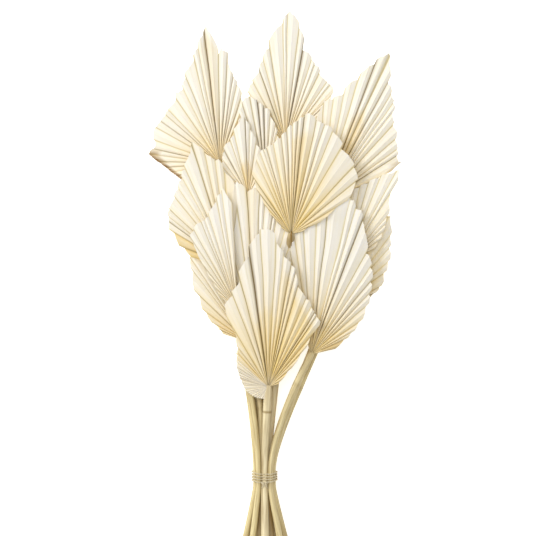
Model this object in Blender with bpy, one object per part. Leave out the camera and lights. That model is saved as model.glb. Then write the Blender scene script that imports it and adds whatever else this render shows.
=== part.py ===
"""A tied bunch of dried, bleached fan palm leaves, each trimmed to a spear, lying on its back.

The bunch lies along +Y, tips away from the cut ends, and is seen from above (+Z).
Leaves are laid out from the middle of the twine tie, and the whole bunch is moved at the end so
that the origin is the middle of its underside.
"""

import math
import random
from dataclasses import dataclass

import bmesh
import bpy
from mathutils import Matrix, Vector

MM = 0.001

# Blades
BLADE_THICKNESS = 1.2 * MM
PLEAT_STEP = 3.9  # degrees between two folds
PLEAT_DEPTH = 2.2 * MM  # ridge to valley at the rim, where a pleat stands open
PLEAT_STEEPNESS = 0.8  # depth over width near the hub, where a pleat is nearly shut
HUB_RADIUS = 5.0 * MM  # the pleats start here, inside the stalk
RING_STATIONS = (0.0, 0.34, 0.7, 1.0)  # rings of points from the hub to the rim
RIM_NOTCH = 0.035  # valley folds are cut this much shorter than ridges
RIM_JITTER = 0.012  # the scissors' unevenness, as a share of the length
CUP_REACH = 50.0 * MM  # a leaf's cup is its droop at this distance from its axis

# Stalks
HUB_STALK = 3.8 * MM  # radius below the blade
TIE_STALK = 2.95 * MM  # radius where the twine presses them together
CUT_STALK = 4.1 * MM  # radius at the cut end
TIP_STALK = 0.8 * MM  # radius where the stalk runs out into the blade
STALK_RUN_OUT = 17.0 * MM  # how far it reaches into the blade
STALK_SINK = 1.0 * MM  # its axis lies this far under the blade
STALK_LENGTH_BELOW = 100.0 * MM  # from the tie to the cut ends
HUB_PULL = 0.07  # how far the blade's direction holds along the stalk, as a share of it
TIE_PULL = 0.4  # how far the tie's direction holds

# Tie
SLOT_PITCH = 6.2 * MM  # between neighbouring stalks in a row
ROW_RISE = SLOT_PITCH * math.sqrt(0.75)
TIE_HALF = 8.0 * MM  # the stalks run side by side this far above and below the tie's middle
TWINE_RADIUS = 1.1 * MM
TWINE_GAP = 0.3 * MM
TWINE_FLAT = 0.25 * MM  # worn flat where the bunch rests on it
LOWEST_ROW = 2 * TWINE_RADIUS - TWINE_FLAT + TWINE_GAP + TIE_STALK
KNOT_RADII = (4.2 * MM, 2.9 * MM, 2.6 * MM)
KNOT_PLACE = (0.8 * MM, -5.2 * MM)


@dataclass
class Leaf:
    name: str
    hub: tuple  # where the pleats meet, in mm right of, up from and above the floor at the tie
    heading: float  # degrees clockwise from +Y
    rise: float  # how steeply the blade climbs along its heading
    roll: float  # how steeply it climbs to its right
    cup: float  # how far its sides droop, in mm
    outline: tuple  # (degrees from the heading, length in mm), from its left to its right
    slot: tuple  # place in the tie: across in slot pitches, and row from the lowest
    cut: tuple  # the cut end, in mm right of the tie's middle and above the floor


LEAVES = (
    Leaf("palm_front_low", (4, 96, 31), 1, 0.06, 0.0, 4.0,
         ((-95, 20), (-71, 31), (-46, 46), (-38, 52), (-31, 71), (-25, 98), (-21, 109), (-10, 127),
          (-5, 155), (0, 179), (5, 152), (9, 133), (14, 114), (21, 102), (29, 94), (37, 88), (40, 69),
          (49, 28)),
         (0, 3), (1, 35)),
    Leaf("palm_front_right", (49, 130, 24.5), 14, 0.0, 0.0, 3.0,
         ((-26, 80), (-23, 102), (-20, 120), (-11, 148), (-5, 158), (0, 169), (8, 152), (13, 126),
          (21, 111), (27, 96), (35, 79), (42, 64), (49, 46), (63, 23)),
         (1, 3), (24, 31)),
    Leaf("palm_front_centre", (28, 256, 31), 8, -0.04, 0.0, 3.0,
         ((-59, 15), (-48, 47), (-41, 73), (-35, 84), (-29, 92), (-18, 97), (-9, 111), (0, 128),
          (7, 122), (16, 116), (24, 104), (37, 96), (45, 87), (50, 70)),
         (0.5, 2), (9.5, 23)),
    Leaf("palm_top_left", (-47, 331, 5.0), -6, 0.04, 0.0, 2.0,
         ((-112, 36), (-97, 54), (-86, 66), (-78, 76), (-69, 71), (-58, 79), (-45, 77), (-32, 81),
          (-22, 87), (-12, 107), (-6, 121), (0, 141), (5, 113), (10, 118), (13, 98), (19, 85),
          (24, 75), (29, 47)),
         (-1.5, 0), (-27, 5)),
    Leaf("palm_top_centre", (22, 353, 5.2), 2, 0.05, 0.0, 2.0,
         ((-57, 26), (-45, 54), (-37, 67), (-22, 82), (-14, 98), (-8, 115), (0, 137), (7, 117),
          (10, 99), (17, 91), (28, 79), (39, 77), (45, 65), (60, 27)),
         (0.5, 0), (5, 4.5)),
    Leaf("palm_top_right", (60, 288, 8), 24, 0.04, 0.0, 2.0,
         ((-34, 50), (-24, 106), (-14, 116), (-10, 132), (-6, 147), (0, 173), (6, 144), (11, 133),
          (16, 118), (23, 107), (31, 98), (38, 92), (42, 71), (46, 36)),
         (1, 1), (13, 12)),
    Leaf("palm_left_upper", (-36, 223, 22.5), -17, 0.0, 0.0, 2.0,
         ((-65, 29), (-58, 44), (-46, 65), (-41, 76), (-32, 86), (-19, 96), (-12, 106), (-5, 120),
          (0, 135), (8, 109), (13, 91), (19, 64)),
         (-1.5, 2), (-27, 20)),
    Leaf("palm_left_front", (-28, 178, 29), -7, 0.0, 0.0, 2.0,
         ((-51, 16), (-37, 35), (-31, 57), (-27, 92), (-17, 99), (-12, 100), (-6, 114), (0, 126),
          (4, 107)),
         (-1, 3), (-17, 31)),
    Leaf("palm_left_low", (-18, 143, 13.5), -34, 0.0, 0.0, 2.0,
         ((-38, 26), (-30, 34), (-22, 54), (-16, 65), (-10, 79), (-4, 96), (0, 107), (6, 100),
          (13, 90), (20, 60)),
         (-1, 1), (-18, 11)),
    Leaf("palm_centre_upper", (-17, 297, 15.5), -4, 0.0, 0.0, 1.0,
         ((-41, 25), (-32, 43), (-25, 55), (-12, 63), (-3, 77), (0, 85), (6, 70), (12, 56), (21, 46),
          (33, 30)),
         (-0.5, 0), (-10, 4.5)),
    Leaf("palm_centre_back", (1, 311, 11), -10, 0.0, 0.0, 1.0,
         ((-30, 36), (-15, 60), (-8, 79), (-4, 91), (0, 92), (6, 84), (12, 76), (18, 64), (27, 49),
          (39, 32)),
         (0, 1), (0, 13)),
    Leaf("palm_centre_low", (-9, 150, 22), -7, 0.0, 0.0, 1.0,
         ((-16, 36), (-10, 49), (-6, 97), (-4, 134), (0, 163), (4, 143), (10, 138), (15, 117),
          (19, 91), (25, 61)),
         (-0.5, 2), (-8, 22)),
    Leaf("palm_right_upper", (85, 225, 13), 30, 0.0, 0.0, 2.0,
         ((-48, 40), (-42, 53), (-26, 75), (-16, 87), (-8, 98), (0, 113), (6, 80), (14, 62),
          (33, 32)),
         (1.5, 2), (30, 19)),
    Leaf("palm_right_low", (71, 176, 4.8), 32, 0.0, 0.0, 1.0,
         ((-20, 36), (-14, 60), (-5, 88), (-3, 112), (0, 116), (9, 95), (16, 82), (24, 68), (34, 54),
          (40, 42), (52, 19)),
         (1.5, 0), (22, 4.5)),
)


def clear_scene():
    for obj in list(bpy.data.objects):
        bpy.data.objects.remove(obj, do_unlink=True)


def make_material(name, colour, roughness):
    material = bpy.data.materials.new(name)
    material.use_nodes = True
    shader = material.node_tree.nodes["Principled BSDF"]
    shader.inputs["Base Color"].default_value = (*colour, 1.0)
    shader.inputs["Roughness"].default_value = roughness
    shader.inputs["Metallic"].default_value = 0.0
    return material


def fold_angles(outline):
    """Degrees of each fold from the heading: one fold on the tip, the others evenly to its sides."""
    first, last = outline[0][0], outline[-1][0]
    left, right = max(1, round(-first / PLEAT_STEP)), max(1, round(last / PLEAT_STEP))
    return [first * n / left for n in range(left, 0, -1)] + [last * n / right for n in range(right + 1)]


def outline_length(outline, degrees):
    """The blade's length along a fold, read between the outline's points."""
    for (left, near), (right, far) in zip(outline, outline[1:]):
        if degrees <= right:
            share = (degrees - left) / (right - left)
            return (near + (far - near) * share) * MM
    return outline[-1][1] * MM


def is_valley(fold, angles):
    """Ridges and valleys take turns, with a ridge on the tip fold."""
    return (fold - angles.index(0)) % 2 == 1


def blade_height(leaf, along, across):
    """How high the unpleated blade lies at a place along and across its heading."""
    droop = leaf.cup * MM * (across / CUP_REACH) ** 2
    return leaf.hub[2] * MM + leaf.rise * along + leaf.roll * across - droop


def place_on_leaf(leaf, along, across, height):
    turn = math.radians(leaf.heading)
    x = leaf.hub[0] * MM + along * math.sin(turn) + across * math.cos(turn)
    y = leaf.hub[1] * MM + along * math.cos(turn) - across * math.sin(turn)
    return Vector((x, y, height))


def make_blade(leaf, collection):
    """A fan of pleats as a sheet of even thickness: a grid bent round the hub and folded."""
    angles = fold_angles(leaf.outline)
    folds = len(angles) - 1
    rings = len(RING_STATIONS) - 1
    step = math.radians(PLEAT_STEP)
    shears = random.Random(leaf.name)

    bm = bmesh.new()
    bmesh.ops.create_grid(bm, x_segments=folds, y_segments=rings, size=0.5)
    lengths = []
    for fold, degrees in enumerate(angles):
        length = outline_length(leaf.outline, degrees)
        if degrees:
            length *= 1 + shears.uniform(-RIM_JITTER, RIM_JITTER)
        if is_valley(fold, angles):
            length *= 1 - RIM_NOTCH
        lengths.append(length)
    for vertex in bm.verts:
        fold = round((vertex.co.x + 0.5) * folds)
        station = RING_STATIONS[round((vertex.co.y + 0.5) * rings)]
        radius = HUB_RADIUS + (lengths[fold] - HUB_RADIUS) * station
        along = radius * math.cos(math.radians(angles[fold]))
        across = radius * math.sin(math.radians(angles[fold]))
        depth = min(PLEAT_DEPTH, PLEAT_STEEPNESS * radius * step)
        side = -0.5 if is_valley(fold, angles) else 0.5
        height = blade_height(leaf, along, across) + side * depth + BLADE_THICKNESS / 2
        vertex.co = place_on_leaf(leaf, along, across, height)
    bmesh.ops.triangulate(bm, faces=bm.faces[:])
    lower = bmesh.ops.extrude_face_region(bm, geom=bm.faces[:])["geom"]
    moved = [item for item in lower if isinstance(item, bmesh.types.BMVert)]
    bmesh.ops.translate(bm, verts=moved, vec=(0, 0, -BLADE_THICKNESS))
    bmesh.ops.recalc_face_normals(bm, faces=bm.faces[:])

    mesh = bpy.data.meshes.new(leaf.name)
    bm.to_mesh(mesh)
    bm.free()
    blade = bpy.data.objects.new(leaf.name, mesh)
    collection.objects.link(blade)
    return blade


def slot_place(slot, y):
    across, row = slot
    return Vector((across * SLOT_PITCH, y, LOWEST_ROW + row * ROW_RISE))


def tube_through(name, points, radii, handle_lengths, directions, collection):
    """A round tube along a Bezier curve, with its radius, handles and direction at each point."""
    curve = bpy.data.curves.new(name, "CURVE")
    curve.dimensions = "3D"
    curve.bevel_depth = 1.0
    curve.bevel_resolution = 2
    curve.resolution_u = 4
    curve.use_fill_caps = True
    spline = curve.splines.new("BEZIER")
    spline.bezier_points.add(len(points) - 1)
    for knot, place, radius, reach, direction in zip(
        spline.bezier_points, points, radii, handle_lengths, directions
    ):
        knot.co = place
        knot.radius = radius
        knot.handle_left_type = knot.handle_right_type = "FREE"
        knot.handle_left = place - direction * reach[0]
        knot.handle_right = place + direction * reach[1]
    tube = bpy.data.objects.new(name, curve)
    collection.objects.link(tube)
    return tube


def make_stalk(leaf, collection):
    """The stalk, from inside the blade through the leaf's slot in the tie to the cut end."""
    along = place_on_leaf(leaf, 1.0, 0.0, 0.0) - place_on_leaf(leaf, 0.0, 0.0, 0.0)
    along = Vector((along.x, along.y, leaf.rise)).normalized()
    hub_height = blade_height(leaf, 0, 0) - STALK_SINK
    hub = place_on_leaf(leaf, 0, 0, hub_height)
    run_out_height = blade_height(leaf, STALK_RUN_OUT, 0)
    run_out = place_on_leaf(leaf, STALK_RUN_OUT, 0, run_out_height)
    tie_top = slot_place(leaf.slot, TIE_HALF)
    tie_bottom = slot_place(leaf.slot, -TIE_HALF)
    end_length = STALK_LENGTH_BELOW + random.Random(leaf.name).uniform(-4, 4) * MM
    cut = Vector((leaf.cut[0] * MM, -end_length, leaf.cut[1] * MM))

    upward = Vector((0, 1, 0))
    free_run = (hub - tie_top).length
    lower_run = (tie_bottom - cut).length
    return tube_through(
        leaf.name + "_stalk",
        (run_out, hub, tie_top, tie_bottom, cut),
        (TIP_STALK, HUB_STALK, TIE_STALK, TIE_STALK, CUT_STALK),
        (
            (5 * MM, 5 * MM),
            (5 * MM, free_run * HUB_PULL),
            (free_run * TIE_PULL, 5 * MM),
            (5 * MM, lower_run * 0.1),
            (lower_run * 0.2, 5 * MM),
        ),
        (-along, -along, -upward, -upward, (cut - tie_bottom).normalized()),
        collection,
    )


def to_welded_mesh(obj, collection):
    """The object as a mesh whose loose caps are joined to its sides."""
    graph = bpy.context.evaluated_depsgraph_get()
    mesh = bpy.data.meshes.new_from_object(obj.evaluated_get(graph))
    bm = bmesh.new()
    bm.from_mesh(mesh)
    bmesh.ops.remove_doubles(bm, verts=bm.verts[:], dist=0.005 * MM)
    bmesh.ops.triangulate(bm, faces=bm.faces[:])
    bmesh.ops.recalc_face_normals(bm, faces=bm.faces[:])
    bm.to_mesh(mesh)
    bm.free()
    welded = bpy.data.objects.new(obj.name + "_mesh", mesh)
    welded.matrix_world = obj.matrix_world
    collection.objects.link(welded)
    bpy.data.objects.remove(obj, do_unlink=True)
    return welded


def fuse(body, others):
    """Joins the body and a collection of other meshes into one solid, and drops the others."""
    union = body.modifiers.new("union", "BOOLEAN")
    union.operation = "UNION"
    union.operand_type = "COLLECTION"
    union.collection = others
    bpy.context.view_layer.update()
    graph = bpy.context.evaluated_depsgraph_get()
    fused = bpy.data.meshes.new_from_object(body.evaluated_get(graph))
    body.modifiers.remove(union)
    body.data = fused
    for other in list(others.objects):
        bpy.data.objects.remove(other, do_unlink=True)
    bpy.data.collections.remove(others)


def make_leaf(leaf, bunch, material):
    blade = make_blade(leaf, bunch)
    helpers = bpy.data.collections.new(leaf.name + "_helpers")
    bpy.context.scene.collection.children.link(helpers)
    to_welded_mesh(make_stalk(leaf, helpers), helpers)
    fuse(blade, helpers)
    blade.data.materials.clear()
    blade.data.materials.append(material)
    return blade


def wrap_points(y, dip):
    """A turn of twine round all the stalks, dipping towards the cut ends at the front."""
    centres = [slot_place(leaf.slot, 0.0) for leaf in LEAVES]
    reach = TIE_STALK + TWINE_GAP + TWINE_RADIUS
    top = max(centre.z for centre in centres) + reach
    middle = sum((centre.z for centre in centres), 0.0) / len(centres)
    turns = 22
    points = []
    for number in range(turns):
        angle = 2 * math.pi * (number + 0.5) / turns
        outward = Vector((math.cos(angle), 0.0, math.sin(angle)))
        carrier = max(centres, key=lambda centre: centre.dot(outward))
        point = carrier + outward * reach
        front = max(0.0, (point.z - middle) / (top - middle))
        side = max(0.0, 1 - abs(point.x - KNOT_PLACE[0]) / (2 * SLOT_PITCH))
        point.y = y - dip * front * side
        points.append(point)
    return points


def make_wrap(name, y, dip, collection):
    curve = bpy.data.curves.new(name, "CURVE")
    curve.dimensions = "3D"
    curve.bevel_depth = TWINE_RADIUS
    curve.bevel_resolution = 2
    spline = curve.splines.new("POLY")
    points = wrap_points(y, dip)
    spline.points.add(len(points) - 1)
    for knot, place in zip(spline.points, points):
        knot.co = (*place, 1.0)
    spline.use_cyclic_u = True
    wrap = bpy.data.objects.new(name, curve)
    collection.objects.link(wrap)
    return to_welded_mesh(wrap, collection)


def make_knot(collection):
    highest = slot_place((0, 3), KNOT_PLACE[1])
    place = Vector((KNOT_PLACE[0], KNOT_PLACE[1], highest.z + TIE_STALK + TWINE_GAP + KNOT_RADII[2]))
    bm = bmesh.new()
    size = Matrix.Diagonal((*KNOT_RADII, 1.0))
    bmesh.ops.create_uvsphere(
        bm, u_segments=12, v_segments=8, radius=1.0, matrix=Matrix.Translation(place) @ size
    )
    mesh = bpy.data.meshes.new("knot")
    bm.to_mesh(mesh)
    bm.free()
    knot = bpy.data.objects.new("knot", mesh)
    collection.objects.link(knot)
    return knot


def make_tie(bunch, material):
    """Four turns of twine fused where they touch, with a knot in front and a flat underneath."""
    helpers = bpy.data.collections.new("tie_helpers")
    bpy.context.scene.collection.children.link(helpers)
    turns = ((5.4 * MM, 0.4 * MM), (3.4 * MM, 2.2 * MM), (1.4 * MM, 4.4 * MM), (-0.6 * MM, 4.8 * MM))
    wraps = [make_wrap(f"wrap_{n}", y, dip, helpers) for n, (y, dip) in enumerate(turns)]
    make_knot(helpers)
    tie = wraps[0]
    helpers.objects.unlink(tie)
    bunch.objects.link(tie)
    tie.name = "twine_tie"
    fuse(tie, helpers)
    bm = bmesh.new()
    bm.from_mesh(tie.data)
    cut = bmesh.ops.bisect_plane(
        bm, geom=bm.verts[:] + bm.edges[:] + bm.faces[:],
        plane_co=(0, 0, 0), plane_no=(0, 0, -1), clear_outer=True,
    )
    rims = [item for item in cut["geom_cut"] if isinstance(item, bmesh.types.BMEdge)]
    bmesh.ops.holes_fill(bm, edges=rims)
    bmesh.ops.triangulate(bm, faces=bm.faces[:])
    bm.to_mesh(tie.data)
    bm.free()
    tie.data.materials.clear()
    tie.data.materials.append(material)
    return tie


def move_origin_under_middle(bunch):
    """Puts the origin at the middle of the bunch's underside."""
    corners = [vertex.co for obj in bunch.objects for vertex in obj.data.vertices]
    low = Vector([min(corner[axis] for corner in corners) for axis in range(3)])
    high = Vector([max(corner[axis] for corner in corners) for axis in range(3)])
    shift = Matrix.Translation((-(low.x + high.x) / 2, -(low.y + high.y) / 2, -low.z))
    for obj in bunch.objects:
        obj.data.transform(shift)


def main():
    clear_scene()
    bunch = bpy.data.collections.new("palm_spear_bunch")
    bpy.context.scene.collection.children.link(bunch)
    palm = make_material("bleached_palm", (0.83, 0.73, 0.50), 0.7)
    twine = make_material("twine", (0.42, 0.33, 0.20), 0.9)
    for leaf in LEAVES:
        make_leaf(leaf, bunch, palm)
    make_tie(bunch, twine)
    move_origin_under_middle(bunch)


main()
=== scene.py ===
"""A tied bunch of dried, bleached fan palm spears, laid on a white table and seen from above.

Laid out as a Blender add-on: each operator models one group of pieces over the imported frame.
Lengths in the leaf table are millimetres from the middle of the twine tie, angles are degrees.
"""

import math
import random
from dataclasses import dataclass

import bmesh
import bpy
from mathutils import Matrix, Vector, noise
from mathutils.geometry import interpolate_bezier


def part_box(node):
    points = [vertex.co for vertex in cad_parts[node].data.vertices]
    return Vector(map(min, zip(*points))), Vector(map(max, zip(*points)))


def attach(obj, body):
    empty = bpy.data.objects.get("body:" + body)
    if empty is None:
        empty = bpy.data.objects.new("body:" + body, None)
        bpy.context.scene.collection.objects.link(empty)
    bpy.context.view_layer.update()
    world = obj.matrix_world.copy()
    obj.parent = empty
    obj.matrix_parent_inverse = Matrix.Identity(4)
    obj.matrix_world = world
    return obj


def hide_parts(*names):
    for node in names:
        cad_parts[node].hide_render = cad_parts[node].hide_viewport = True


bl_info = {
    "name": "Dried Palm Spear Bunch",
    "version": (1, 0, 0),
    "blender": (4, 5, 0),
    "location": "3D View > Sidebar > Palm",
    "description": "Models a tied bunch of dried, pleated fan palm leaves with its stalks and twine",
    "category": "Add Mesh",
}

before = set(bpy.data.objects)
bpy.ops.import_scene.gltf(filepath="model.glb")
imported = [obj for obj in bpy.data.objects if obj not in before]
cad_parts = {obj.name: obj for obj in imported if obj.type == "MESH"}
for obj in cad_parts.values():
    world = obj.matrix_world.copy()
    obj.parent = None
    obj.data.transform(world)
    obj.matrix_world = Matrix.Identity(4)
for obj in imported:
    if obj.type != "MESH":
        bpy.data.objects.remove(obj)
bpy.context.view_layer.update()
MM = 0.001
IMAGE_SIZE = 536
MM_PER_PIXEL = 1.05
TIE_PIXEL = (264.5, 478)  # the middle of the tie in the image

# The stage, in metres
TABLE_SIZE = 3.0
TABLE_GAP = 0.0001  # between the table and the bunch
LIGHT_AIM = (-0.006, 0.06, 0.02)
SCALE_HEIGHT = 0.02  # the height above the table at which a pixel spans MM_PER_PIXEL

# The stalks' places in the tie, in mm
SLOT_PITCH = 6.2  # between neighbours in a row
ROW_RISE = SLOT_PITCH * math.sqrt(0.75)
LOWEST_ROW = 5.2  # height of the lowest row
WIDEST_SLOT = 1.5  # slot pitches from the middle to the outermost stalk
TIE_HALF = 8.0  # the stalks run side by side this far above and below the tie's middle
TIE_STALK = 2.75  # radius of a stalk there
TIE_TOP = 6.5  # from the tie's middle to its upper edge

# Each turn of twine in front: its height at the left, in the middle and at the right
TURNS = ((6.3, 2.8, 5.8), (3.3, 0.0, 3.1), (0.3, -2.8, 0.5), (-2.6, -5.6, -2.0))
KNOT_PLACE = (0.4, -5.4)
KNOT_SIZE = (1.15, 0.72, 0.75)  # scale of its loops across, along and in height
KNOT_RISE = 0.9
TWINE_STEP = 0.6  # between points along the twine
PLY_SHARE = 0.54  # radius of one ply as a share of the twine's


@dataclass
class Leaf:
    """One leaf, as it lies in the bunch."""

    name: str
    hub: tuple  # where the pleats meet, right of, up from and above the floor at the tie
    heading: float  # clockwise from +Y
    rise: float  # how steeply the blade climbs along its heading
    roll: float  # how steeply it climbs to its right
    cup: float  # how far its sides droop
    outline: tuple  # (degrees from the heading, length), from its left to its right
    slot: tuple  # place in the tie: across in slot pitches, and row from the lowest
    cut: tuple  # the cut end, right of the tie's middle and above the floor
    pleats: tuple  # from its left: (up to these degrees, degrees a pleat, share of the full depth)
    honey: tuple  # how golden it is at the hub, and how far the gold reaches
    creases: tuple = ()  # (degrees, darkness of the painted shade along it) of the folds that are pressed shut
    patches: tuple = ()  # (from and to degrees, from and to share of the length, gold, brown): stains, and in a few, painted shade where other leaves lie over this one
    frays: tuple = ()  # (degrees, length) of torn strands past the cut
    curl: float = 0.0  # how far the tip lifts
    dip: float = 0.0  # how far the stalk drops behind the blades in front
    neck: float = 0.25  # how dark the painted shade on the stalk just below the blade is
    tail: float = 0.0  # length of the dark point that runs down from the hub, painted shade
    upright: float = 0.25  # share of its free length for which the stalk rises straight from the tie
    lean: float = 0.0  # degrees by which the stalk leaves the hub to the left of the way to the tie
    stout: float = 1.0  # how much thicker than the others its stalk is
    node: float = 0.25  # how dark the node ring of its stalk is
    flank: float = -180.0  # left of these degrees it stayed pale down to the hub


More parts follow.
